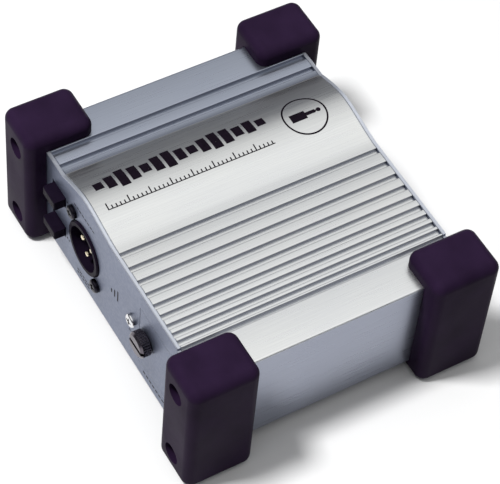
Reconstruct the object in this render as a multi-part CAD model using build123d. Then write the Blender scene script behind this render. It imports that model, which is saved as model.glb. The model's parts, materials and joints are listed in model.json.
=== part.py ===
"""Direct injection box: an extruded aluminium body between two socket panels and four rubber guards.

Millimetres. X runs along the panels, Y from the front (output) panel to the rear (input) panel,
and Z is up. The origin is under the centre of the box, on the surface that the guards stand on.
"""
import os

from build123d import *

# ---------------------------------------------------------------- driving dimensions
overall_w, overall_d, overall_h = 150.0, 130.0, 60.0
body_w, body_d, body_h = 133.0, 114.0, 47.0
foot_gap = 5.7                      # clear height under the body
panel_t = 1.5                       # thickness of the front and rear panels
wall_t, roof_t = 2.0, 2.8           # walls of the extruded profile, and its top
edge_round = 1.0                    # rounding of the profile's long corners

half_w = body_w / 2
panel_y = body_d / 2                # outer faces of the panels, at -panel_y and +panel_y
shell_y = panel_y - panel_t         # ends of the extruded profile
base_z = foot_gap                   # underside of the body
strip_z = base_z + body_h           # level strips along both sides of the top
deck_z = strip_z + 1.2              # grooved deck
mid_z = base_z + body_h / 2
floor_z = base_z + wall_t           # inside floor of the body

# Top of the profile: a hump carries the front label, and a ribbed deck lies beside it.
hump_line = [(0.0, deck_z), (-12.0, strip_z + 3.3), (-23.5, strip_z + 4.7),
             (-33.0, strip_z + 2.6), (-40.0, strip_z)]
deck_edge_x = 49.5
groove_w, groove_deep, groove_lip = 2.2, 1.4, 0.4
groove_count, first_groove_x = 9, 2.7
first_pitch, pitch_step = 7.2, 0.5
strip_groove_x = (-52.1, -45.2)     # grooves in the -X strip
edge_groove_w, edge_groove_deep = 1.15, 0.5
panel_bevel, seam_bevel = 0.3, 0.15  # outer and inner edges of the panels
end_bevel = 0.25                    # ends of the profile, beside the panels

# Corner guards and the screws that hold them through the panels.
guard_x, guard_y = 52.8, 36.4       # inner faces
guard_round = 4.1
guard_gap = 0.1
guard_screw_x = 63.0
guard_screw_z = (base_z + 4.2, base_z + body_h - 4.2)
recess_r, recess_deep = 4.4, 5.2
channel_r, boss_r = 1.5, 3.1

# Sockets: three-pin connectors on a 19 x 24 mm screw pattern, and 6.35 mm jacks.
socket_z = mid_z + 0.7
socket_r, socket_bore_r = 11.7, 9.6
socket_screws = ((-9.5, 12.0), (9.5, -12.0))
pin_places = ((-3.6, 2.1), (3.6, 2.1), (0.0, -4.1))
pin_r, pin_tail_r = 1.2, 0.7
xlr_out_x, xlr_in_x = -21.2, -30.0
jack_places = {"jack_input": -4.0, "jack_link": 18.0}
jack_bore_r, jack_barrel_r = 3.2, 5.9
socket_bore_deep = 12.5
latch_top = 13.0                    # top of the release latch above the socket's axis
earth_x, earth_z = 17.1, mid_z + 2.2
led_x, led_z = 29.5, mid_z + 12.0

# Push buttons: rectangular caps on sprung plungers.
cap_w, cap_h, cap_out, cap_in = 9.5, 4.5, 4.7, 0.9
front_button_x, rear_button_x = -42.3, 41.0
button_z = (mid_z + 10.0, mid_z - 8.0)
switch_front = shell_y - 4.0        # front face of a switch body, measured from the centre
switch_back = switch_front - 13.0
plunger_r, plunger_end = 1.8, switch_front - 5.0

# Circuit board.
board_z, board_t = 14.1, 1.6
board_top = board_z + board_t
standoff_places = ((-54.0, -46.0), (12.0, -46.0), (-56.0, 46.0), (54.0, 34.0))

# Battery door, its hinge and its thumb screw.
door_x = (22.3, 52.2)
door_z = (mid_z - 16.0, mid_z + 16.0)
door_leaf_x = 48.3                  # full-height part of the door ends here, short of the bay's ears
hinge_x, hinge_y = 50.5, -panel_y + 1.4
hinge_pin_r, knuckle_r = 0.8, 1.35
thumb_x, thumb_z = 28.0, mid_z + 2.4
thumb_r, thumb_out = 5.3, 4.9
thumb_slot_w, thumb_slot_deep = 1.7, 1.5
battery_size = (17.5, 48.5, 26.5)
battery_x, battery_front_y = 40.3, -52.4
bay_y = (-shell_y + 0.3, 3.0)
insert_y = (-52.2, -50.0)           # threaded bush that catches the thumb screw
snap_y = -1.2                       # front of the battery's snap plate


# ---------------------------------------------------------------- helpers
def block(x, y, z):
    """A box from three (low, high) pairs."""
    size = [high - low for low, high in (x, y, z)]
    centre = [(high + low) / 2 for low, high in (x, y, z)]
    return Pos(*centre) * Box(*size)


def rod_y(x, z, y, r):
    """A cylinder along Y between the two values of y."""
    return Pos(x, (y[0] + y[1]) / 2, z) * Rot(90, 0, 0) * Cylinder(r, abs(y[1] - y[0]))


def rod_z(x, y, z, r):
    """A cylinder along Z between the two values of z."""
    return Pos(x, y, (z[0] + z[1]) / 2) * Cylinder(r, z[1] - z[0])


def prism_y(section, y):
    """A section drawn in X and Z, extruded between the two values of y."""
    plane = Plane(origin=(0, y[1], 0), x_dir=(1, 0, 0), z_dir=(0, -1, 0))
    return extrude(plane * section, amount=y[1] - y[0])


def outward(side, x, z, y):
    """The place of a piece whose own +Z faces out of the front (side -1) or rear (side 1) panel."""
    return Pos(x, y, z) * Rot(-90 * side, 0, 0)


def pan_screw(head_r, head_h, shank_r, length, slot_w=0.9):
    """A pan-head cross-recess screw along +Z, with its seat at z = 0."""
    head = fillet(Cylinder(head_r, head_h, align=(Align.CENTER, Align.CENTER, Align.MIN))
                  .edges().sort_by(Axis.Z)[-1:], head_h * 0.55)
    shank = Cylinder(shank_r, length, align=(Align.CENTER, Align.CENTER, Align.MAX))
    cross = Box(head_r * 1.15, slot_w, head_h) + Box(slot_w, head_r * 1.15, head_h)
    return head + shank - Pos(0, 0, head_h) * cross


def hex_nut(across_flats, height, bore_r):
    """A hexagon nut on z = 0."""
    return extrude(RegularPolygon(across_flats / 2, 6, major_radius=False) - Circle(bore_r), height)


def coil_spring(x, z, y, coil_r, wire_r, turns):
    """A helical spring along Y between the two values of y."""
    length = y[1] - y[0] - 2 * wire_r
    path = Helix(pitch=length / turns, height=length, radius=coil_r)
    coil = sweep((path ^ 0) * Circle(wire_r), path=path, is_frenet=True)
    return Pos(x, y[1] - wire_r, z) * Rot(90, 0, 0) * coil


# ---------------------------------------------------------------- body
def profile_outline():
    """The outer outline of the extruded profile, in X and Z."""
    sides = Polyline(hump_line[-1], (-half_w, strip_z), (-half_w, base_z), (half_w, base_z),
                     (half_w, strip_z), (deck_edge_x, strip_z), (deck_edge_x, deck_z),
                     hump_line[0])
    hump = Spline(*hump_line, tangents=[(-1, 0.12), (-1, -0.45)])
    outline = make_face(sides + hump)
    corners = outline.vertices().filter_by(lambda v: abs(v.X) > half_w - 0.01)
    return fillet(corners, edge_round)


def deck_groove_places():
    """The -X edges of the deck's grooves, whose pitch shrinks towards +X."""
    places = [first_groove_x]
    for i in range(groove_count - 1):
        places.append(places[-1] + first_pitch - i * pitch_step)
    return places


def grooves():
    """The -X edge, top, width and depth of every groove along the profile."""
    cuts = [(x, deck_z, groove_w, groove_deep) for x in deck_groove_places()]
    cuts += [(x, strip_z, groove_w, groove_deep) for x in strip_groove_x]
    return cuts + [(deck_edge_x, strip_z, edge_groove_w, edge_groove_deep)]


def groove_lips(section):
    """The corners where the grooves meet the top surfaces."""
    lips = [(x, z) for left, z, w, deep in grooves() for x in (left, left + w)]
    lips += [(deck_edge_x, deck_z)]
    return section.vertices().filter_by(
        lambda v: any(abs(v.X - x) + abs(v.Y - z) < 0.01 for x, z in lips))


def guard_screw_places():
    return [(x, z) for x in (-guard_screw_x, guard_screw_x) for z in guard_screw_z]


def profile_shell(outline):
    roof_z = strip_z - roof_t
    cavity = Pos(0, (floor_z + roof_z) / 2) * Rectangle(body_w - 2 * wall_t, roof_z - floor_z)
    section = outline - cavity
    for x, z in guard_screw_places():
        section += Pos(x, z) * Circle(boss_r)
    for x, z in guard_screw_places():
        section -= Pos(x, z) * Circle(channel_r)
    for x, z, w, deep in grooves():
        section -= Pos(x + w / 2, z) * Rectangle(w, 2 * deep)
    section = fillet(groove_lips(section), groove_lip)
    shell = prism_y(section, (-shell_y, shell_y))
    for end in (0, -1):
        rim = shell.faces().sort_by(Axis.Y)[end].outer_wire()
        shell = chamfer(rim.edges(), end_bevel)
    return shell


def blank_panel(outline, side):
    y = sorted((side * shell_y, side * panel_y))
    panel = prism_y(outline, y)
    faces = panel.faces().sort_by(Axis.Y)[::side]
    panel = chamfer(faces[-1].outer_wire().edges(), panel_bevel)
    faces = panel.faces().sort_by(Axis.Y)[::side]
    panel = chamfer(faces[0].outer_wire().edges(), seam_bevel)
    for x, z in guard_screw_places():
        panel -= rod_y(x, z, y, channel_r + 0.2)
    return panel


def button_window(side, x, z):
    y = sorted((side * (shell_y - 1), side * (panel_y + 1)))
    half = cap_w / 2 + 0.7
    return block((x - half, x + half), y, (z - cap_h / 2 - 0.6, z + cap_h / 2 + 1.2))


def socket_cut(side, x):
    y = sorted((side * (shell_y - 1), side * (panel_y + 1)))
    cut = rod_y(x, socket_z, y, socket_r + 0.15)
    for dx, dz in socket_screws:
        cut += rod_y(x + dx, socket_z + dz, y, 1.6)
    return cut


def front_panel(outline):
    y = (-panel_y - 1, -shell_y + 1)
    panel = blank_panel(outline, -1) - socket_cut(-1, xlr_out_x)
    for z in button_z:
        panel -= button_window(-1, front_button_x, z)
    panel -= block(door_x, y, door_z)
    return panel - rod_y(earth_x, earth_z, y, 1.6)


def rear_panel(outline):
    y = (shell_y - 1, panel_y + 1)
    panel = blank_panel(outline, 1) - socket_cut(1, xlr_in_x)
    panel -= block((xlr_in_x - 3.8, xlr_in_x + 3.8), y, (socket_z, socket_z + latch_top + 0.6))
    for x in jack_places.values():
        panel -= rod_y(x, mid_z, y, jack_barrel_r + 0.1)
    for z in button_z:
        panel -= button_window(1, rear_button_x, z)
    return panel - rod_y(led_x, led_z, y, 2.1)


# ---------------------------------------------------------------- corner guards
def corner_guard(side_x, side_y):
    x = sorted((side_x * guard_x, side_x * overall_w / 2))
    y = sorted((side_y * guard_y, side_y * overall_d / 2))
    guard = block(x, y, (0, overall_h))
    guard = fillet(guard.edges(), guard_round)
    gap = guard_gap
    guard -= block((-half_w - gap, half_w + gap), (-panel_y - gap, panel_y + gap),
                   (base_z - gap, strip_z + gap))
    face_y = side_y * overall_d / 2
    seat_y = face_y - side_y * recess_deep
    for z in guard_screw_z:
        guard -= rod_y(side_x * guard_screw_x, z, (face_y, seat_y), recess_r)
        guard -= rod_y(side_x * guard_screw_x, z, (face_y, side_y * panel_y), channel_r + 0.2)
    return guard


def guard_screws():
    screw = pan_screw(3.0, 2.0, 1.45, 15.0)
    seat_y = overall_d / 2 - recess_deep
    return [outward(side, x, z, side * seat_y) * screw
            for side in (-1, 1) for x, z in guard_screw_places()]


# ---------------------------------------------------------------- three-pin sockets
def socket_body(side, x):
    """Round nose in the panel, on a block that stands on the circuit board behind it."""
    nose = Cylinder(socket_r, panel_t + 1.0, align=(Align.CENTER, Align.CENTER, Align.MIN))
    nose = chamfer(nose.edges().sort_by(Axis.Z)[-1:], 0.5)
    back_y = sorted((side * shell_y, side * (shell_y - 22)))
    back = block((x - 13, x + 13), back_y, (board_top, socket_z + 13.4))
    body = back + outward(side, x, socket_z, side * shell_y) * nose
    for dx, dz in socket_screws:
        body -= rod_y(x + dx, socket_z + dz, sorted((side * shell_y, side * (shell_y - 9))), 1.25)
    return body


def xlr_out_housing():
    floor_y = -panel_y + socket_bore_deep
    housing = socket_body(-1, xlr_out_x)
    housing -= rod_y(xlr_out_x, socket_z, (-panel_y - 1.1, floor_y), socket_bore_r)
    for dx, dz in pin_places:
        housing -= rod_y(xlr_out_x + dx, socket_z + dz, (floor_y - 1, 0), pin_tail_r + 0.05)
    return housing


def xlr_out_pins():
    """Each pin stands in the bore's floor, and its tail bends down to the board."""
    pins = []
    floor_y, tail_y = -panel_y + socket_bore_deep, -shell_y + 24.5
    for dx, dz in pin_places:
        tip = fillet(Cylinder(pin_r, 12.0, align=(Align.CENTER, Align.CENTER, Align.MIN))
                     .edges().sort_by(Axis.Z)[-1:], 0.7)
        x, z = xlr_out_x + dx, socket_z + dz
        tail = rod_y(x, z, (floor_y, tail_y), pin_tail_r)
        tail += rod_z(x, tail_y - pin_tail_r, (board_top, z), pin_tail_r)
        pins.append(outward(-1, x, z, floor_y) * tip + tail)
    return pins


def xlr_in_shell():
    """The ring and block of the input socket, hollow around its insert and notched for the latch."""
    shell = socket_body(1, xlr_in_x)
    shell -= rod_y(xlr_in_x, socket_z, (panel_y - 16, panel_y + 1.1), socket_bore_r)
    notch = block((xlr_in_x - 3.6, xlr_in_x + 3.6), (panel_y - 12, panel_y + 1.1),
                  (socket_z + 8, socket_z + 14))
    return shell - notch


def xlr_in_insert():
    insert = rod_y(xlr_in_x, socket_z, (panel_y - 16, panel_y - 0.5), 7.9)
    for dx, dz in pin_places:
        x, z = xlr_in_x - dx, socket_z + dz
        insert -= rod_y(x, z, (panel_y - 15, panel_y), 1.35)
        insert -= rod_y(x, z, (panel_y - 15, panel_y - 2.5), 1.75)
    return insert


def xlr_in_contacts():
    contacts = []
    for dx, dz in pin_places:
        x, z = xlr_in_x - dx, socket_z + dz
        tube = rod_y(x, z, (panel_y - 14.8, panel_y - 3), 1.7)
        contacts.append(tube - rod_y(x, z, (panel_y - 13, panel_y - 2), 1.3))
    return contacts


def xlr_in_latch():
    """A push tab above the insert, with a hook that reaches down behind the plug's rim."""
    x = (xlr_in_x - 3.1, xlr_in_x + 3.1)
    tab = block(x, (panel_y - 11.5, panel_y + 1.6), (socket_z + 10.9, socket_z + latch_top))
    tab = fillet(tab.edges().filter_by(Axis.X), 0.5)
    hook = block(x, (panel_y - 7.5, panel_y - 6.0), (socket_z + 9.9, socket_z + 11.5))
    return tab + hook


def socket_screw_set(side, x):
    screw = pan_screw(2.9, 1.9, 1.2, 8.0)
    return [outward(side, x + dx, socket_z + dz, side * panel_y) * screw for dx, dz in socket_screws]


# ---------------------------------------------------------------- jack sockets
def jack_body(x):
    case = block((x - 8, x + 8), (shell_y - 27, shell_y), (mid_z - 8, mid_z + 8))
    barrel = rod_y(x, mid_z, (shell_y, panel_y + 3.4), jack_barrel_r)
    chamber = block((x - 5, x + 5), (shell_y - 25.5, shell_y - 4), (mid_z - 6, mid_z + 6))
    return case + barrel - chamber - rod_y(x, mid_z, (shell_y - 4.5, panel_y + 3.4), jack_bore_r)


def jack_contacts(x):
    """Tip and sleeve leaves inside the case, each with a leg down to the board."""
    leaves = []
    for dz, y in ((4.6, shell_y - 22), (-4.9, shell_y - 12)):
        leaf = block((x - 1.5, x + 1.5), (y - 3, y + 7), (mid_z + dz - 0.2, mid_z + dz + 0.2))
        foot = block((x - 7.9, x - 7.5), (y - 3, y - 1), (board_top, mid_z + dz + 0.2))
        arm = block((x - 7.9, x - 1.5), (y - 3, y - 1), (mid_z + dz - 0.2, mid_z + dz + 0.2))
        leaves.append(leaf + arm + foot)
    return leaves


def jack_case_slots(x):
    """Room in a jack's case for the arms and legs of its contacts."""
    slots = Part()
    for dz, y in ((4.6, shell_y - 22), (-4.9, shell_y - 12)):
        slots += block((x - 8.1, x - 4.9), (y - 3.2, y - 0.8), (mid_z - 8.1, mid_z + dz + 0.5))
    return slots


def jack_nuts():
    nut = hex_nut(14.0, 2.4, jack_barrel_r + 0.05)
    nut = chamfer(nut.faces().sort_by(Axis.Z)[-1].outer_wire().edges(), 0.3)
    return [outward(1, x, mid_z, panel_y + 0.7) * nut for x in jack_places.values()]


def jack_washers():
    washer = extrude(Circle(8.0) - Circle(jack_barrel_r + 0.05), 0.7)
    return [outward(1, x, mid_z, panel_y) * washer for x in jack_places.values()]


# ---------------------------------------------------------------- push buttons
def push_button(side, x, z):
    """A rectangular cap with softened edges, on a round plunger."""
    y = sorted((side * (panel_y + cap_out), side * (shell_y - cap_in)))
    cap = block((x - cap_w / 2, x + cap_w / 2), y, (z - cap_h / 2, z + cap_h / 2))
    outer = cap.faces().sort_by(Axis.Y)[-1 if side > 0 else 0]
    cap = fillet(outer.edges(), 0.6)
    return cap + rod_y(x, z, sorted((side * shell_y, side * plunger_end)), plunger_r)


def switch_body(side, x, z):
    y = sorted((side * switch_front, side * switch_back))
    body = block((x - 4.5, x + 4.5), y, (z - 3.8, z + 3.8))
    bore_y = sorted((side * switch_front, side * (switch_back + 3.5)))
    return body - rod_y(x, z, bore_y, plunger_r + 0.35)


def switch_spring(side, x, z):
    y = sorted((side * (plunger_end - 0.1), side * (switch_back + 3.6)))
    return coil_spring(x, z, y, 1.5, 0.22, 4)


def switch_board(side, x):
    """A small upright board that carries a panel's two switches."""
    y = sorted((side * switch_back, side * (switch_back - board_t)))
    return block((x - 6, x + 6), y, (board_top, button_z[0] + 6))


# ---------------------------------------------------------------- electronics
def circuit_board():
    board = block((-60, 20), (-51, 4), (board_z, board_top))
    board += block((-60, 60), (4, 51), (board_z, board_top))
    for x, y in standoff_places:
        board -= rod_z(x, y, (board_z - 1, board_top + 1), 1.6)
    return board


def board_standoffs():
    return [rod_z(x, y, (floor_z, board_z), 3.0) - rod_z(x, y, (floor_z + 1, board_z), 1.45)
            for x, y in standoff_places]


def board_screws():
    screw = pan_screw(2.7, 1.8, 1.4, 6.0, slot_w=0.8)
    return [Pos(x, y, board_top) * screw for x, y in standoff_places]


def transformer():
    """Laminated core with two windows, and a wound bobbin on its centre leg."""
    place = Pos(-38, 6, board_top + 11.5)
    windows = Pos(-6.5, 0, 0) * Box(5, 16, 13) + Pos(6.5, 0, 0) * Box(5, 16, 13)
    core = Box(26, 16, 22) - windows
    coil = Box(17.6, 24, 12.4) - Box(8.4, 16.4, 12.8)
    return place * core, place * coil


def capacitors():
    cans = [(-8, -22, 4.0, 11.0), (2, -22, 4.0, 11.0), (12, -24, 3.2, 8.0), (12, -14, 3.2, 8.0),
            (-52, -20, 5.0, 12.5), (0, 12, 4.0, 11.0), (10, 12, 4.0, 11.0)]
    solids = []
    for x, y, r, h in cans:
        can = rod_z(x, y, (board_top, board_top + h), r)
        solids.append(fillet(can.edges().sort_by(Axis.Z)[-1:], 0.5))
    return solids


def chips():
    """Eight-leg amplifier chips."""
    solids = []
    for x, y in ((-10, -6), (6, -4), (-50, 26)):
        chip = block((x - 4.8, x + 4.8), (y - 3.2, y + 3.2), (board_top + 0.6, board_top + 4.0))
        for i in range(4):
            leg_x = x - 3.81 + i * 2.54
            for leg_y in (y - 3.8, y + 3.8):
                reach = sorted((leg_y, leg_y - 1.0 if leg_y > y else leg_y + 1.0))
                chip += block((leg_x - 0.3, leg_x + 0.3), reach, (board_top, board_top + 2.0))
        solids.append(chip)
    return solids


def resistors():
    solids = []
    for i in range(6):
        x, y = -22.0 + i * 4.0, 22.0
        body = rod_y(x, board_top + 1.6, (y - 3.2, y + 3.2), 1.1)
        wire = rod_y(x, board_top + 1.6, (y - 5.0, y + 5.0), 0.3)
        legs = rod_z(x, y - 4.7, (board_top, board_top + 1.9), 0.3)
        legs += rod_z(x, y + 4.7, (board_top, board_top + 1.9), 0.3)
        solids.append(body + wire + legs)
    return solids


def status_led():
    lens = rod_y(led_x, led_z, (shell_y - 4, panel_y + 0.6), 1.5)
    return lens + Pos(led_x, panel_y + 0.6, led_z) * Sphere(1.5)


def led_holder():
    ring = rod_y(led_x, led_z, (shell_y - 3, panel_y), 2.0)
    ring += rod_y(led_x, led_z, (panel_y, panel_y + 0.8), 2.8)
    return ring - rod_y(led_x, led_z, (shell_y - 4, panel_y + 1), 1.55)


# ---------------------------------------------------------------- battery bay and door
def battery_bay():
    """A moulded tray behind the door, with ears for the hinge pin and a block for the catch."""
    bay = block((22.8, 52.0), bay_y, (mid_z - 15.8, mid_z + 15.8))
    bay -= block((31.0, 49.6), (bay_y[0] - 1, 1.5), (mid_z - 14.2, mid_z + 14.2))
    bay -= block((22.0, 29.6), (-47.0, 4.0), (mid_z - 17, mid_z + 17))
    bay -= block((48.6, 53.0), (bay_y[0] - 1, -52.6), (mid_z - 14.2, mid_z + 14.2))
    for z in (mid_z - 15.8, mid_z + 14.2):
        bay += block((hinge_x - 1.1, 52.0), (hinge_y - 1.15, bay_y[0] + 1), (z, z + 1.6))
    bay -= rod_z(hinge_x, hinge_y, (mid_z - 15.0, mid_z + 15.0), hinge_pin_r)
    bay -= rod_y(thumb_x, thumb_z, (bay_y[0] - 1, insert_y[0]), 3.4)
    bay -= rod_y(thumb_x, thumb_z, insert_y, 3.0)
    bay -= rod_y(battery_x, mid_z, (1, 4), 8.0)
    for x in (26.9, 48.0):
        bay += block((x - 1.8, x + 1.8), (-54, -48), (floor_z, mid_z - 15.8))
    return bay


def catch_insert():
    bush = rod_y(thumb_x, thumb_z, insert_y, 3.0)
    return bush - rod_y(thumb_x, thumb_z, (insert_y[0] - 1, insert_y[1] + 1), 2.4)


def battery_door():
    gap = 0.25
    leaf = block((door_x[0] + gap, door_leaf_x), (-panel_y, -shell_y), (door_z[0] + gap, door_z[1] - gap))
    leaf += block((door_leaf_x, hinge_x), (-panel_y, -shell_y), (mid_z - 13.9, mid_z + 13.9))
    leaf += rod_z(hinge_x, hinge_y, (mid_z - 13.9, mid_z + 13.9), knuckle_r)
    leaf -= rod_z(hinge_x, hinge_y, (mid_z - 16, mid_z + 16), hinge_pin_r + 0.06)
    return leaf - rod_y(thumb_x, thumb_z, (-panel_y - 1, -shell_y + 1), 1.45)


def door_hinge_pin():
    return rod_z(hinge_x, hinge_y, (mid_z - 15.0, mid_z + 15.0), hinge_pin_r)


def thumb_washer():
    ring = rod_y(thumb_x, thumb_z, (-panel_y - 0.6, -panel_y - 0.1), 4.0)
    return ring - rod_y(thumb_x, thumb_z, (-panel_y - 1, -panel_y), 1.45)


def thumb_screw():
    """Knurled head with a slot, a thin neck through the door, and a thicker threaded end."""
    knurl_h, notch_r, notches = 3.2, 0.4, 32
    head = extrude(Circle(thumb_r), thumb_out - 0.7)
    head = chamfer(head.edges().sort_by(Axis.Z)[-1:], 0.9)
    for notch in PolarLocations(thumb_r + 0.1, notches):
        head -= notch * Cylinder(notch_r, knurl_h, align=(Align.CENTER, Align.CENTER, Align.MIN))
    head -= Pos(0, 0, thumb_out - 0.7) * Box(2 * thumb_r + 1, thumb_slot_w, 2 * thumb_slot_deep)
    screw = outward(-1, thumb_x, thumb_z, -panel_y - 0.7) * head
    screw += rod_y(thumb_x, thumb_z, (-panel_y - 0.7, -53.2), 1.1)
    return screw + rod_y(thumb_x, thumb_z, (-53.2, -50.4), 1.75)


def battery():
    w, d, h = battery_size
    case = block((battery_x - w / 2, battery_x + w / 2), (battery_front_y, battery_front_y + d),
                 (mid_z - h / 2, mid_z + h / 2))
    case = fillet(case.edges().filter_by(Axis.Y), 1.2)
    back_y = battery_front_y + d
    for dz, r in ((-6.35, 2.9), (6.35, 3.9)):
        case += rod_y(battery_x, mid_z + dz, (back_y, back_y + 2.5), r)
    return case


def battery_snap():
    return block((battery_x - 6, battery_x + 6), (snap_y, snap_y + 1.6), (mid_z - 11.5, mid_z + 11.5))


def battery_leads():
    """Two insulated wires from the snap plate down to the board."""
    leads = []
    start_y, down_y = snap_y + 1.6, 9.0
    for dz, x in ((-4.0, battery_x - 2.5), (4.0, battery_x + 2.5)):
        turn = (x, down_y, mid_z + dz)
        path = FilletPolyline((x, start_y, mid_z + dz), turn, (x, down_y, board_top), radius=4.0)
        leads.append(sweep(Plane(origin=path @ 0, z_dir=path % 0) * Circle(0.7), path=path))
    return leads


# ---------------------------------------------------------------- earth screw
def earth_screw():
    return outward(-1, earth_x, earth_z, -panel_y) * pan_screw(2.9, 1.8, 1.5, 7.0)


def earth_nut():
    return outward(-1, earth_x, earth_z, -shell_y + 2.4) * hex_nut(5.5, 2.4, 1.52)


# ---------------------------------------------------------------- assembly
def build():
    outline = profile_outline()
    core, coil = transformer()
    nodes = {
        "profile_shell": profile_shell(outline),
        "front_panel": front_panel(outline),
        "rear_panel": rear_panel(outline),
        "guard_screws": guard_screws(),
        "xlr_out_housing": xlr_out_housing(),
        "xlr_out_pins": xlr_out_pins(),
        "xlr_out_screws": socket_screw_set(-1, xlr_out_x),
        "xlr_in_shell": xlr_in_shell(),
        "xlr_in_insert": xlr_in_insert(),
        "xlr_in_contacts": xlr_in_contacts(),
        "xlr_in_latch": xlr_in_latch(),
        "xlr_in_screws": socket_screw_set(1, xlr_in_x),
        "jack_nuts": jack_nuts(),
        "jack_washers": jack_washers(),
        "front_switch_board": switch_board(-1, front_button_x),
        "rear_switch_board": switch_board(1, rear_button_x),
        "circuit_board": circuit_board(),
        "board_standoffs": board_standoffs(),
        "board_screws": board_screws(),
        "transformer_core": core,
        "transformer_coil": coil,
        "capacitors": capacitors(),
        "chips": chips(),
        "resistors": resistors(),
        "status_led": status_led(),
        "led_holder": led_holder(),
        "battery_bay": battery_bay(),
        "catch_insert": catch_insert(),
        "battery_door": battery_door(),
        "door_hinge_pin": door_hinge_pin(),
        "thumb_washer": thumb_washer(),
        "thumb_screw": thumb_screw(),
        "battery": battery(),
        "battery_snap": battery_snap(),
        "battery_leads": battery_leads(),
        "earth_screw": earth_screw(),
        "earth_nut": earth_nut(),
    }
    for side_y, end in ((-1, "front"), (1, "rear")):
        for side_x, hand in ((-1, "left"), (1, "right")):
            nodes[f"corner_guard_{end}_{hand}"] = corner_guard(side_x, side_y)
    for name, x in jack_places.items():
        nodes[name] = jack_body(x) - jack_case_slots(x)
        nodes[f"{name}_contacts"] = jack_contacts(x)
    switches = {"ground_lift": (-1, front_button_x, button_z[0]),
                "filter": (-1, front_button_x, button_z[1]),
                "pad_high": (1, rear_button_x, button_z[0]),
                "pad_low": (1, rear_button_x, button_z[1])}
    for name, (side, x, z) in switches.items():
        nodes[f"{name}_button"] = push_button(side, x, z)
        nodes[f"{name}_switch"] = switch_body(side, x, z)
        nodes[f"{name}_spring"] = switch_spring(side, x, z)
    return nodes


os.makedirs("parts", exist_ok=True)
for name, shape in build().items():
    pieces = shape if isinstance(shape, list) else [shape]
    solids = [solid for piece in pieces for solid in piece.solids()]
    export_step(Compound(children=solids), f"parts/{name}.step")
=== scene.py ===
"""Looks of the direct injection box: camera, studio light, materials, springs and printed marks.

Metres throughout. +X runs along the socket panels, +Y from the front panel to the rear one, +Z up.
"""
import json
import math

import bmesh
import bpy
from mathutils import Matrix, Vector
from mathutils.bvhtree import BVHTree


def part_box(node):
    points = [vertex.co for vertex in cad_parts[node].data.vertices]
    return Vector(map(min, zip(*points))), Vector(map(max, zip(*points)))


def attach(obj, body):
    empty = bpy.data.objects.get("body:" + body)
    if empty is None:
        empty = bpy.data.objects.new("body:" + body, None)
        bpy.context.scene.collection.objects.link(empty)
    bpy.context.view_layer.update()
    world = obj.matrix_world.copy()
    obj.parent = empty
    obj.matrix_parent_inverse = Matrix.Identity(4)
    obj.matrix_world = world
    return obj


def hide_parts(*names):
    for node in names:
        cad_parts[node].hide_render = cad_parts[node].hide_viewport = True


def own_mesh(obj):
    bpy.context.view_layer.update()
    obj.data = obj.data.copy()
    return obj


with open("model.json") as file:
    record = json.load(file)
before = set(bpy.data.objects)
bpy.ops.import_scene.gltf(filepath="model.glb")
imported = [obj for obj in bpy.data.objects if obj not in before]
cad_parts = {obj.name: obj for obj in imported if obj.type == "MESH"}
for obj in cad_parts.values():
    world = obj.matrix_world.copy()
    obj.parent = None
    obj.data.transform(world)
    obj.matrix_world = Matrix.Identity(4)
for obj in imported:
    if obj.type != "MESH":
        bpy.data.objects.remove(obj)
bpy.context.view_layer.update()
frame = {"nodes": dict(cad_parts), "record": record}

MM = 0.001
NODES = frame["nodes"]
SLOT_OF = {part["node"]: part["material_slot"] for part in frame["record"]["subparts"]}

side_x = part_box("profile_shell")[1].x   # plain side of the body
panel_y = -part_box("front_panel")[0].y   # outer faces of the panels, at -panel_y and +panel_y
hump_start_x = -40.0 * MM               # the hump rises from the -X strip here
crest_x = (-22.0 * MM, -11.0 * MM)      # the hump's crest, where the painted shade on its rising side fades out
deck_x = (0.0, 49.5 * MM)               # the grooved deck


# ---------------------------------------------------------------- node helpers
def add(tree, kind, inputs=None, **settings):
    """A node with the given settings and inputs; an input is a value or another node's socket."""
    made = tree.nodes.new("ShaderNode" + kind)
    for key, value in settings.items():
        setattr(made, key, value)
    for key, value in (inputs or {}).items():
        if isinstance(value, bpy.types.NodeSocket):
            tree.links.new(value, made.inputs[key])
        else:
            made.inputs[key].default_value = value
    return made


def shader(name, colour, roughness, **sockets):
    """A new material with its tree and shader; what is the same all over is set on the shader."""
    made = bpy.data.materials.new(name)
    made.use_nodes = True
    surface = made.node_tree.nodes["Principled BSDF"]
    surface.inputs["Base Color"].default_value = (*colour, 1)
    surface.inputs["Roughness"].default_value = roughness
    for key, value in sockets.items():
        surface.inputs[key.replace("_", " ")].default_value = value
    return made, made.node_tree, surface


def noise(tree, scale, stretch=(1, 1, 1), detail=3.0):
    """Noise fixed to the object, with features of about 1/scale metres before stretching."""
    place = add(tree, "TexCoord").outputs["Object"]
    placed = add(tree, "Mapping", {"Vector": place, "Scale": stretch}).outputs["Vector"]
    return add(tree, "TexNoise", {"Vector": placed, "Scale": scale, "Detail": detail}).outputs["Fac"]


def span(tree, value, low, high, start=0.3, end=0.7):
    """value from start..end spread over low..high."""
    return add(tree, "MapRange", {"Value": value, "From Min": start, "From Max": end,
                                  "To Min": low, "To Max": high}).outputs["Result"]


def blend(tree, factor, first, second, kind="MIX"):
    """A colour mix; first and second are colours or sockets."""
    made = tree.nodes.new("ShaderNodeMix")
    made.data_type = "RGBA"
    made.blend_type = kind
    for socket, value in (("Factor_Float", factor), ("A_Color", first), ("B_Color", second)):
        target = next(s for s in made.inputs if s.identifier == socket)
        if isinstance(value, bpy.types.NodeSocket):
            tree.links.new(value, target)
        else:
            target.default_value = value if socket == "Factor_Float" else (*value, 1)
    return next(s for s in made.outputs if s.identifier == "Result_Color")


def shade(colour, factor):
    return tuple(channel * factor for channel in colour)


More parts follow.
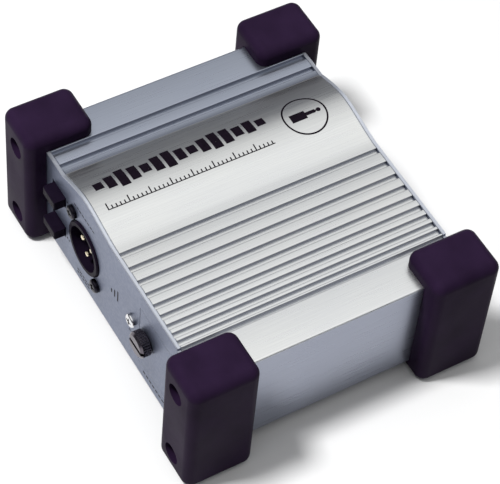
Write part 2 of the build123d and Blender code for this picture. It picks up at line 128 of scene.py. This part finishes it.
def tint(tree, surface, value, colour, low, high):
    """The base colour varies from colour x low to colour x high."""
    mixed = blend(tree, span(tree, value, 0, 1), shade(colour, low), shade(colour, high))
    tree.links.new(mixed, surface.inputs["Base Color"])
    return mixed


def rough(tree, surface, value, low, high):
    tree.links.new(span(tree, value, low, high), surface.inputs["Roughness"])


def bump(tree, surface, value, strength, depth_mm=0.05):
    made = add(tree, "Bump", {"Height": value, "Strength": strength, "Distance": depth_mm * MM})
    tree.links.new(made.outputs["Normal"], surface.inputs["Normal"])


# ---------------------------------------------------------------- materials
BRIGHT = (0.86, 0.87, 0.86)
STRIP = (0.43, 0.465, 0.545)
# painted shade for the plain upright sides, darker than the level faces of the same metal
PAINTED_SIDE_SHADE = (0.325, 0.345, 0.415)
# painted shade for groove walls and other upright faces
PAINTED_WALL_SHADE = (0.31, 0.325, 0.38)
PLATE = (0.172, 0.195, 0.27)
# painted highlight for faces of the panels that face up
PAINTED_UP_HIGHLIGHT = (0.60, 0.63, 0.70)
INK = (0.004, 0.0022, 0.005)


def brushed_body():
    """Extruded aluminium: silky bright deck with a painted light gradient along it, brushed strips, painted
    shade on the hump's rising side and on groove walls, and a darker painted shade on the plain upright
    sides.
    """
    made, tree, surface = shader("body aluminium", BRIGHT, 0.30, Metallic=0.97)
    streaks = noise(tree, 2600, (1, 0.012, 1), 4)
    grain = noise(tree, 5200, (1, 0.15, 1), 2)
    cloud = noise(tree, 28, detail=2)
    place = add(tree, "SeparateXYZ", {"Vector": add(tree, "TexCoord").outputs["Object"]})
    facing = add(tree, "SeparateXYZ", {"Vector": add(tree, "TexCoord").outputs["Normal"]})
    on_strip = span(tree, place.outputs["X"], 1, 0, hump_start_x - 0.2 * MM, hump_start_x)
    from_middle = add(tree, "Math", {0: place.outputs["X"]}, operation="ABSOLUTE").outputs["Value"]
    on_side = span(tree, from_middle, 0, 1, side_x - 1.4 * MM, side_x - 1.1 * MM)
    upright = span(tree, facing.outputs["Z"], 1, 0, 0.15, 0.6)
    side = add(tree, "Math", {0: on_side, 1: upright}, operation="MULTIPLY").outputs["Value"]
    on_deck = span(tree, place.outputs["X"], 0, 1, deck_x[0] - 1.5 * MM, deck_x[0])
    along_deck = span(tree, place.outputs["X"], 0, 1, *deck_x)
    # painted light: the deck grows brighter towards +X
    deck = blend(tree, along_deck, shade(BRIGHT, 0.95), shade(BRIGHT, 1.06))
    crest = span(tree, place.outputs["X"], 0, 1, *crest_x)
    # painted shade: the hump is darker on its rising side, up to the crest
    hump = blend(tree, crest, shade(BRIGHT, 0.76), BRIGHT)
    # the metal's own tone with painted shade and painted light mixed in
    finish_and_shade = blend(tree, on_deck, hump, deck)
    finish_and_shade = blend(tree, on_strip, finish_and_shade, STRIP)
    # painted shade on upright faces such as groove walls
    finish_and_shade = blend(tree, upright, finish_and_shade, PAINTED_WALL_SHADE)
    # darker painted shade on the plain upright sides
    finish_and_shade = blend(tree, side, finish_and_shade, PAINTED_SIDE_SHADE)
    # brushed streaks in the metal's own tone
    streak_tone = blend(tree, span(tree, streaks, 0, 1), (0.87, 0.87, 0.885), (1.0, 1.0, 1.0))
    finish_and_shade = blend(tree, 1.0, finish_and_shade, streak_tone, "MULTIPLY")
    patches = blend(tree, span(tree, cloud, 0, 1), (0.965, 0.97, 0.98), (1.0, 1.0, 0.995))
    tree.links.new(blend(tree, 1.0, finish_and_shade, patches, "MULTIPLY"), surface.inputs["Base Color"])
    rough(tree, surface, streaks, 0.26, 0.36)
    bump(tree, surface, grain, 0.10, 0.02)
    return made


def satin_panel():
    """Satin anodised plate with a fine sandy grain, and a paler painted highlight on faces that face up,
    such as the cut edges on top.
    """
    made, tree, surface = shader("panel aluminium", PLATE, 0.4, Metallic=0.85)
    plate = tint(tree, surface, noise(tree, 60, detail=3), PLATE, 0.95, 1.05)
    facing = add(tree, "SeparateXYZ", {"Vector": add(tree, "TexCoord").outputs["Normal"]})
    up = span(tree, facing.outputs["Z"], 0, 1, 0.3, 0.7)
    # painted highlight on faces that face up
    tree.links.new(blend(tree, up, plate, PAINTED_UP_HIGHLIGHT), surface.inputs["Base Color"])
    rough(tree, surface, noise(tree, 900, detail=3), 0.34, 0.46)
    bump(tree, surface, noise(tree, 6500, detail=2), 0.12, 0.02)
    return made


def guard_rubber():
    """Moulded rubber with a fine eroded texture and slightly polished patches."""
    colour = (0.013, 0.0065, 0.019)
    made, tree, surface = shader("guard rubber", colour, 0.42, Specular_IOR_Level=0.025)
    tint(tree, surface, noise(tree, 70, detail=4), colour, 0.82, 1.25)
    rough(tree, surface, noise(tree, 45, detail=5), 0.36, 0.50)
    bump(tree, surface, noise(tree, 3600, detail=3), 0.28, 0.03)
    return made


def moulded(name, colour, roughness, texture=0.15, specular=0.5):
    made, tree, surface = shader(name, colour, roughness, Specular_IOR_Level=specular)
    tint(tree, surface, noise(tree, 180, detail=3), colour, 0.88, 1.14)
    rough(tree, surface, noise(tree, 400, detail=3), roughness - 0.06, roughness + 0.06)
    bump(tree, surface, noise(tree, 2400, detail=2), texture, 0.02)
    return made


def metal(name, colour, roughness, stretch=(1, 1, 1), texture=0.08):
    made, tree, surface = shader(name, colour, roughness, Metallic=1.0)
    tint(tree, surface, noise(tree, 260, detail=3), colour, 0.90, 1.06)
    rough(tree, surface, noise(tree, 1500, stretch, 3), max(0.03, roughness - 0.07), roughness + 0.07)
    bump(tree, surface, noise(tree, 3000, stretch, 2), texture, 0.01)
    return made


def laminated_core():
    """Stacked steel sheets, whose edges show as fine lines across the core."""
    made, tree, surface = shader("core steel", (0.30, 0.29, 0.28), 0.45, Metallic=1.0)
    lines = add(tree, "TexWave", {"Vector": add(tree, "TexCoord").outputs["Object"], "Scale": 320.0,
                                  "Distortion": 0.3}, bands_direction="Y").outputs["Fac"]
    tint(tree, surface, lines, (0.30, 0.29, 0.28), 0.7, 1.1)
    bump(tree, surface, lines, 0.5, 0.05)
    return made


def board():
    """Green solder mask over faint copper tracks."""
    colour = (0.015, 0.13, 0.05)
    made, tree, surface = shader("board", colour, 0.32)
    tracks = add(tree, "TexVoronoi", {"Vector": add(tree, "TexCoord").outputs["Object"], "Scale": 210.0},
                 distance="MANHATTAN", feature="DISTANCE_TO_EDGE").outputs["Distance"]
    mask = span(tree, tracks, 0, 1, 0.04, 0.07)
    tree.links.new(blend(tree, mask, shade(colour, 1.9), colour), surface.inputs["Base Color"])
    bump(tree, surface, mask, 0.4, 0.03)
    return made


def lens():
    made, tree, surface = shader("led lens", (0.6, 0.02, 0.012), 0.12, Transmission_Weight=0.45, IOR=1.5)
    tint(tree, surface, noise(tree, 500), (0.6, 0.02, 0.012), 0.8, 1.1)
    return made


def ink():
    made, tree, surface = shader("black ink", INK, 0.5, Specular_IOR_Level=0.06)
    tint(tree, surface, noise(tree, 900, detail=4), INK, 0.75, 1.35)
    rough(tree, surface, noise(tree, 1200), 0.42, 0.58)
    return made


def make_materials():
    return {
        "body_aluminium": brushed_body(),
        "panel_aluminium": satin_panel(),
        "guard_rubber": guard_rubber(),
        "black_plastic": moulded("black plastic", (0.006, 0.0038, 0.009), 0.30, specular=0.015),
        "black_screw": metal("black oxide", (0.022, 0.020, 0.028), 0.30),
        "bright_chrome": metal("bright chrome", (0.82, 0.82, 0.83), 0.12),
        "dark_chrome": metal("dark chrome", (0.13, 0.115, 0.135), 0.24),
        "steel": metal("zinc steel", (0.58, 0.58, 0.60), 0.30),
        "contact_brass": metal("contact brass", (0.90, 0.80, 0.58), 0.18),
        "white_nylon": moulded("white nylon", (0.72, 0.72, 0.70), 0.45),
        "board_green": board(),
        "core_steel": laminated_core(),
        "coil_tape": moulded("coil tape", (0.62, 0.43, 0.08), 0.3),
        "can_sleeve": moulded("can sleeve", (0.02, 0.03, 0.09), 0.25),
        "chip_black": moulded("chip epoxy", (0.02, 0.02, 0.022), 0.55, 0.3),
        "resistor_body": moulded("resistor lacquer", (0.20, 0.38, 0.50), 0.3),
        "led_lens": lens(),
        "battery_jacket": metal("battery jacket", (0.09, 0.10, 0.12), 0.35),
        "lead_insulation": moulded("lead insulation", (0.40, 0.02, 0.02), 0.4),
    }


def dress_cad_nodes(materials):
    """Each CAD node gets its slot's material, and shading that is smooth except over sharp edges."""
    for name, solid in NODES.items():
        solid.data.materials.clear()
        solid.data.materials.append(materials[SLOT_OF[name]])
        weld = solid.modifiers.new("weld", "WELD")
        weld.merge_threshold = 0.001 * MM
        split = solid.modifiers.new("sharp edges", "EDGE_SPLIT")
        split.split_angle = math.radians(32)
        solid.data.polygons.foreach_set("use_smooth", [True] * len(solid.data.polygons))


# ---------------------------------------------------------------- springs
SPRING_TURNS, END_TURNS, TURN_STEPS, WIRE_SIDES = 4.5, 0.75, 28, 10
SPRING_WIRE = 0.22 * MM                 # radius of the wire


def spring_path(length):
    """Turns and distance along the spring, with closed turns at both ends and an even pitch between them."""
    lead = END_TURNS * 2 * SPRING_WIRE
    pitch = (length - 2 * lead) / (SPRING_TURNS - 2 * END_TURNS)
    steps = int(SPRING_TURNS * TURN_STEPS)
    for i in range(steps + 1):
        turns = SPRING_TURNS * i / steps
        coiled = min(turns, END_TURNS) + max(0.0, turns - SPRING_TURNS + END_TURNS)
        yield turns, coiled * 2 * SPRING_WIRE + (turns - coiled) * pitch


def wound_spring(node, materials):
    """A round-wire spring in the place of its CAD node."""
    low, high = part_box(node)
    middle = (low + high) / 2
    radius = (high.x - low.x) / 2 - SPRING_WIRE
    mesh = bpy.data.meshes.new(node + "_coil")
    wire = bmesh.new()
    rings = []
    spokes = [2 * math.pi * k / WIRE_SIDES for k in range(WIRE_SIDES)]
    for turns, along in spring_path(high.y - low.y - 2 * SPRING_WIRE):
        angle = 2 * math.pi * turns
        out = Vector((math.cos(angle), 0, math.sin(angle)))
        centre = Vector((middle.x, low.y + SPRING_WIRE + along, middle.z)) + out * radius
        rims = [math.cos(t) * out + Vector((0, math.sin(t), 0)) for t in spokes]
        rings.append([wire.verts.new(centre + SPRING_WIRE * rim) for rim in rims])
    for first, second in zip(rings, rings[1:]):
        for k in range(WIRE_SIDES):
            after = (k + 1) % WIRE_SIDES
            wire.faces.new((first[k], first[after], second[after], second[k]))
    wire.faces.new(rings[0])
    wire.faces.new(rings[-1])
    bmesh.ops.recalc_face_normals(wire, faces=wire.faces)
    for face in wire.faces:
        face.smooth = len(face.verts) == 4
    wire.to_mesh(mesh)
    wire.free()
    made = bpy.data.objects.new(mesh.name, mesh)
    bpy.context.scene.collection.objects.link(made)
    mesh.materials.append(materials[SLOT_OF[node]])
    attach(made, "box")
    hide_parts(node)
    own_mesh(made)


def springs(materials):
    for joint in frame["record"]["behaviour"]["joints"]:
        for soft in joint.get("deforming_nodes", []):
            wound_spring(soft["node"], materials)


# ---------------------------------------------------------------- printed marks
PRINT_LIFT = 0.03 * MM                  # height of the ink over the metal
CUT_STEP = 1.0 * MM                     # marks are cut this finely to follow the hump
# Lengths of the level bars, and where their row starts, all in millimetres.
WAVE = (3.6, 6.2, 8.8, 7.0, 4.6, 7.6, 8.8, 6.0, 4.2, 7.2, 8.8, 7.8, 5.2, 6.6, 3.6)
WAVE_X, WAVE_Y, WAVE_PITCH, WAVE_BAR = -26.4, -48.9, 4.95, 3.7
RULE_X, RULE_Y, RULE_W = -14.9, (-50.6, 20.8), 0.4
TICK_STEP, TICK_H, TALL_TICK_H, TICK_W = 1.8, 1.3, 2.7, 0.5
BADGE_X, BADGE_Y, BADGE_R, BADGE_LINE = -21.7, 37.6, 9.2, 0.7


def bar(u, v):
    """A rectangle in two directions, in millimetres."""
    return [(u[0], v[0]), (u[1], v[0]), (u[1], v[1]), (u[0], v[1])]


def ring(centre, radius, line, steps=72):
    """A circle's outline as a row of four-sided pieces, in millimetres."""
    shapes = []
    for i in range(steps):
        a, b = (2 * math.pi * j / steps for j in (i, i + 1))
        corners = ((radius - line, a), (radius, a), (radius, b), (radius - line, b))
        shapes.append([(centre[0] + r * math.cos(t), centre[1] + r * math.sin(t)) for r, t in corners])
    return shapes


def disc(centre, radius, steps=28):
    return [[(centre[0] + radius * math.cos(2 * math.pi * i / steps),
              centre[1] + radius * math.sin(2 * math.pi * i / steps)) for i in range(steps)]]


def top_marks():
    """A row of level bars, a ticked rule and a round badge with a plug, as seen from above in X and Y."""
    shapes = []
    for i, height in enumerate(WAVE):
        y = WAVE_Y + i * WAVE_PITCH
        shapes.append(bar((WAVE_X - height / 2, WAVE_X + height / 2),
                          (y - WAVE_BAR / 2, y + WAVE_BAR / 2)))
    shapes.append(bar((RULE_X - RULE_W, RULE_X), RULE_Y))
    for i in range(int((RULE_Y[1] - RULE_Y[0]) / TICK_STEP) + 1):
        height = TALL_TICK_H if i % 5 == 0 else TICK_H
        y = RULE_Y[0] + i * TICK_STEP
        shapes.append(bar((RULE_X - RULE_W - height, RULE_X - RULE_W), (y, y + TICK_W)))
    shapes += ring((BADGE_X, BADGE_Y), BADGE_R, BADGE_LINE)
    shapes.append(bar((BADGE_X - 1.9, BADGE_X + 1.9), (BADGE_Y - 6.2, BADGE_Y + 0.4)))
    shapes.append(bar((BADGE_X - 0.8, BADGE_X + 0.8), (BADGE_Y + 0.4, BADGE_Y + 4.6)))
    shapes.append(bar((BADGE_X - 0.35, BADGE_X + 0.35), (BADGE_Y + 4.6, BADGE_Y + 5.2)))
    shapes += disc((BADGE_X, BADGE_Y + 6.0), 0.95)
    return shapes


def dashes(u, v, length, gap, height, count):
    """A row of short lines from (u, v)."""
    return [bar((u + i * (length + gap), u + i * (length + gap) + length), (v, v + height))
            for i in range(count)]


def front_marks():
    """Small marks beside the buttons, socket and door, in X and Z."""
    shapes = dashes(-30.0, 47.3, 1.5, 0.6, 0.7, 8)
    shapes += dashes(-36.0, 41.5, 1.1, 0.5, 0.7, 2) + dashes(-36.0, 19.6, 1.1, 0.5, 0.7, 2)
    shapes += dashes(-27.0, 10.4, 1.5, 0.6, 0.7, 6) + dashes(-27.0, 8.7, 1.5, 0.6, 0.7, 5)
    for i, height in enumerate((2.4, 4.2, 6.0)):
        shapes.append(bar((0.2 + i * 2.4, 1.0 + i * 2.4), (28.6, 28.6 + height)))
    shapes += dashes(14.6, 22.6, 1.3, 0.5, 0.7, 3)
    return shapes + dashes(26.5, 9.6, 1.6, 0.8, 0.9, 9)


def rear_marks():
    """Small marks above the rear sockets and buttons, in X and Z."""
    shapes = []
    for centre in (-30.0, -4.0, 18.0, 41.0):
        shapes += dashes(centre - 5.0, 45.6, 1.5, 0.6, 0.7, 5)
    return shapes


def flat_print(name, shapes, place):
    """The shapes as a thin mesh; place turns each (u, v) in metres into a point."""
    mesh = bpy.data.meshes.new(name)
    sheet = bmesh.new()
    for shape in shapes:
        sheet.faces.new([sheet.verts.new((u * MM, v * MM, 0)) for u, v in shape])
    bmesh.ops.remove_doubles(sheet, verts=sheet.verts, dist=0.001 * MM)
    low, high = (pick(vert.co.x for vert in sheet.verts) for pick in (min, max))
    for i in range(1, int((high - low) / CUT_STEP) + 1):
        everything = [*sheet.verts, *sheet.edges, *sheet.faces]
        bmesh.ops.bisect_plane(sheet, geom=everything, plane_co=(low + i * CUT_STEP, 0, 0),
                               plane_no=(1, 0, 0))
    for vert in sheet.verts:
        vert.co = place(vert.co.x, vert.co.y)
    bmesh.ops.triangulate(sheet, faces=sheet.faces)
    sheet.to_mesh(mesh)
    sheet.free()
    made = bpy.data.objects.new(name, mesh)
    bpy.context.scene.collection.objects.link(made)
    return made


def printed_marks():
    shell = NODES["profile_shell"]
    surface = BVHTree.FromObject(shell, bpy.context.evaluated_depsgraph_get())
    inverse = shell.matrix_world.inverted()

    def on_top(x, y):
        start = inverse @ Vector((x, y, 1.0))
        hit = surface.ray_cast(start, inverse.to_3x3() @ Vector((0, 0, -1)))[0]
        return shell.matrix_world @ hit + Vector((0, 0, PRINT_LIFT))

    def on_front(x, z):
        return Vector((x, -panel_y - PRINT_LIFT, z))

    def on_rear(x, z):
        return Vector((-x, panel_y + PRINT_LIFT, z))

    prints = [flat_print("top_print", top_marks(), on_top),
              flat_print("front_print", front_marks(), on_front),
              flat_print("rear_print", rear_marks(), on_rear)]
    black = ink()
    for mark in prints:
        mark.data.materials.append(black)
        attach(mark, "box")


# ---------------------------------------------------------------- studio
AZIMUTH, ELEVATION, ROLL = (math.radians(angle) for angle in (55.33, 52.45, 6.05))
AIM_RIGHT, AIM_UP, DISTANCE = 0.004115, 0.0115, 0.8733
LENS_MM, SENSOR_MM = 161.0, 36
KEY_TOWARDS, KEY_DISTANCE, KEY_SIZE, KEY_WATTS = (-0.13, -0.42, 1.0), 1.6, (0.28, 0.28), 36
LIGHT_AIM_Z = 0.03                      # the light faces this height on the object
FLOOR_HALF, FLOOR_GREY = 3.0, 0.60


def camera():
    """Long lens above the front right corner, tipped a little."""
    back = Vector((math.sin(AZIMUTH) * math.cos(ELEVATION), -math.cos(AZIMUTH) * math.cos(ELEVATION),
                   math.sin(ELEVATION)))
    level = (-back).cross(Vector((0, 0, 1))).normalized()
    upright = level.cross(-back)
    right = level * math.cos(ROLL) + upright * math.sin(ROLL)
    up = upright * math.cos(ROLL) - level * math.sin(ROLL)
    made = bpy.data.objects.new("camera", bpy.data.cameras.new("camera"))
    bpy.context.scene.collection.objects.link(made)
    turn = Matrix((right, up, back)).transposed().to_4x4()
    aim = Vector((0, 0, 5.7 * MM))
    place = aim + right * AIM_RIGHT + up * AIM_UP + back * DISTANCE
    made.matrix_world = Matrix.Translation(place) @ turn
    made.data.sensor_width = SENSOR_MM
    made.data.lens = LENS_MM
    made.data.clip_start, made.data.clip_end = 0.01, 20
    bpy.context.scene.camera = made


def softbox(name, towards, distance, size, power):
    """An area light that faces the object from the direction given, and doesn't show in the metal."""
    data = bpy.data.lights.new(name, "AREA")
    data.shape = "RECTANGLE"
    data.size, data.size_y = size
    data.energy = power
    made = bpy.data.objects.new(name, data)
    made.visible_glossy = False
    bpy.context.scene.collection.objects.link(made)
    direction = Vector(towards).normalized()
    made.location = direction * distance + Vector((0, 0, LIGHT_AIM_Z))
    made.rotation_mode = "QUATERNION"
    made.rotation_quaternion = direction.to_track_quat("Z", "Y")


SKY = ((0.0, (0.10, 0.105, 0.125)), (0.35, (0.13, 0.135, 0.155)), (0.55, (0.25, 0.255, 0.275)),
       (0.70, (0.62, 0.625, 0.635)), (0.80, (0.93, 0.935, 0.935)), (0.92, (1.05, 1.05, 1.04)))


def sky():
    """A soft light tent that is dark at the horizon and bright overhead."""
    world = bpy.data.worlds.new("studio")
    bpy.context.scene.world = world
    world.use_nodes = True
    tree = world.node_tree
    height = add(tree, "SeparateXYZ", {"Vector": add(tree, "TexCoord").outputs["Generated"]}).outputs["Z"]
    ramp = add(tree, "ValToRGB", {"Fac": height})
    ramp.color_ramp.interpolation = "EASE"
    ramp.color_ramp.elements[0].position, ramp.color_ramp.elements[1].position = SKY[0][0], SKY[-1][0]
    for place, colour in SKY[1:-1]:
        ramp.color_ramp.elements.new(place)
    for stop, (place, colour) in zip(ramp.color_ramp.elements, SKY):
        stop.color = (*colour, 1)
    tree.links.new(ramp.outputs["Color"], tree.nodes["Background"].inputs["Color"])


def studio():
    sky()
    softbox("key", KEY_TOWARDS, KEY_DISTANCE, KEY_SIZE, KEY_WATTS)
    bpy.context.scene.view_settings.view_transform = "Standard"

    mesh = bpy.data.meshes.new("floor")
    sheet = bmesh.new()
    bmesh.ops.create_grid(sheet, x_segments=2, y_segments=2, size=FLOOR_HALF)
    sheet.to_mesh(mesh)
    sheet.free()
    floor = bpy.data.objects.new("floor", mesh)
    bpy.context.scene.collection.objects.link(floor)
    floor.data.materials.append(shader("floor", (FLOOR_GREY, FLOOR_GREY, FLOOR_GREY), 0.9)[0])


camera()
studio()
materials = make_materials()
dress_cad_nodes(materials)
springs(materials)
printed_marks()
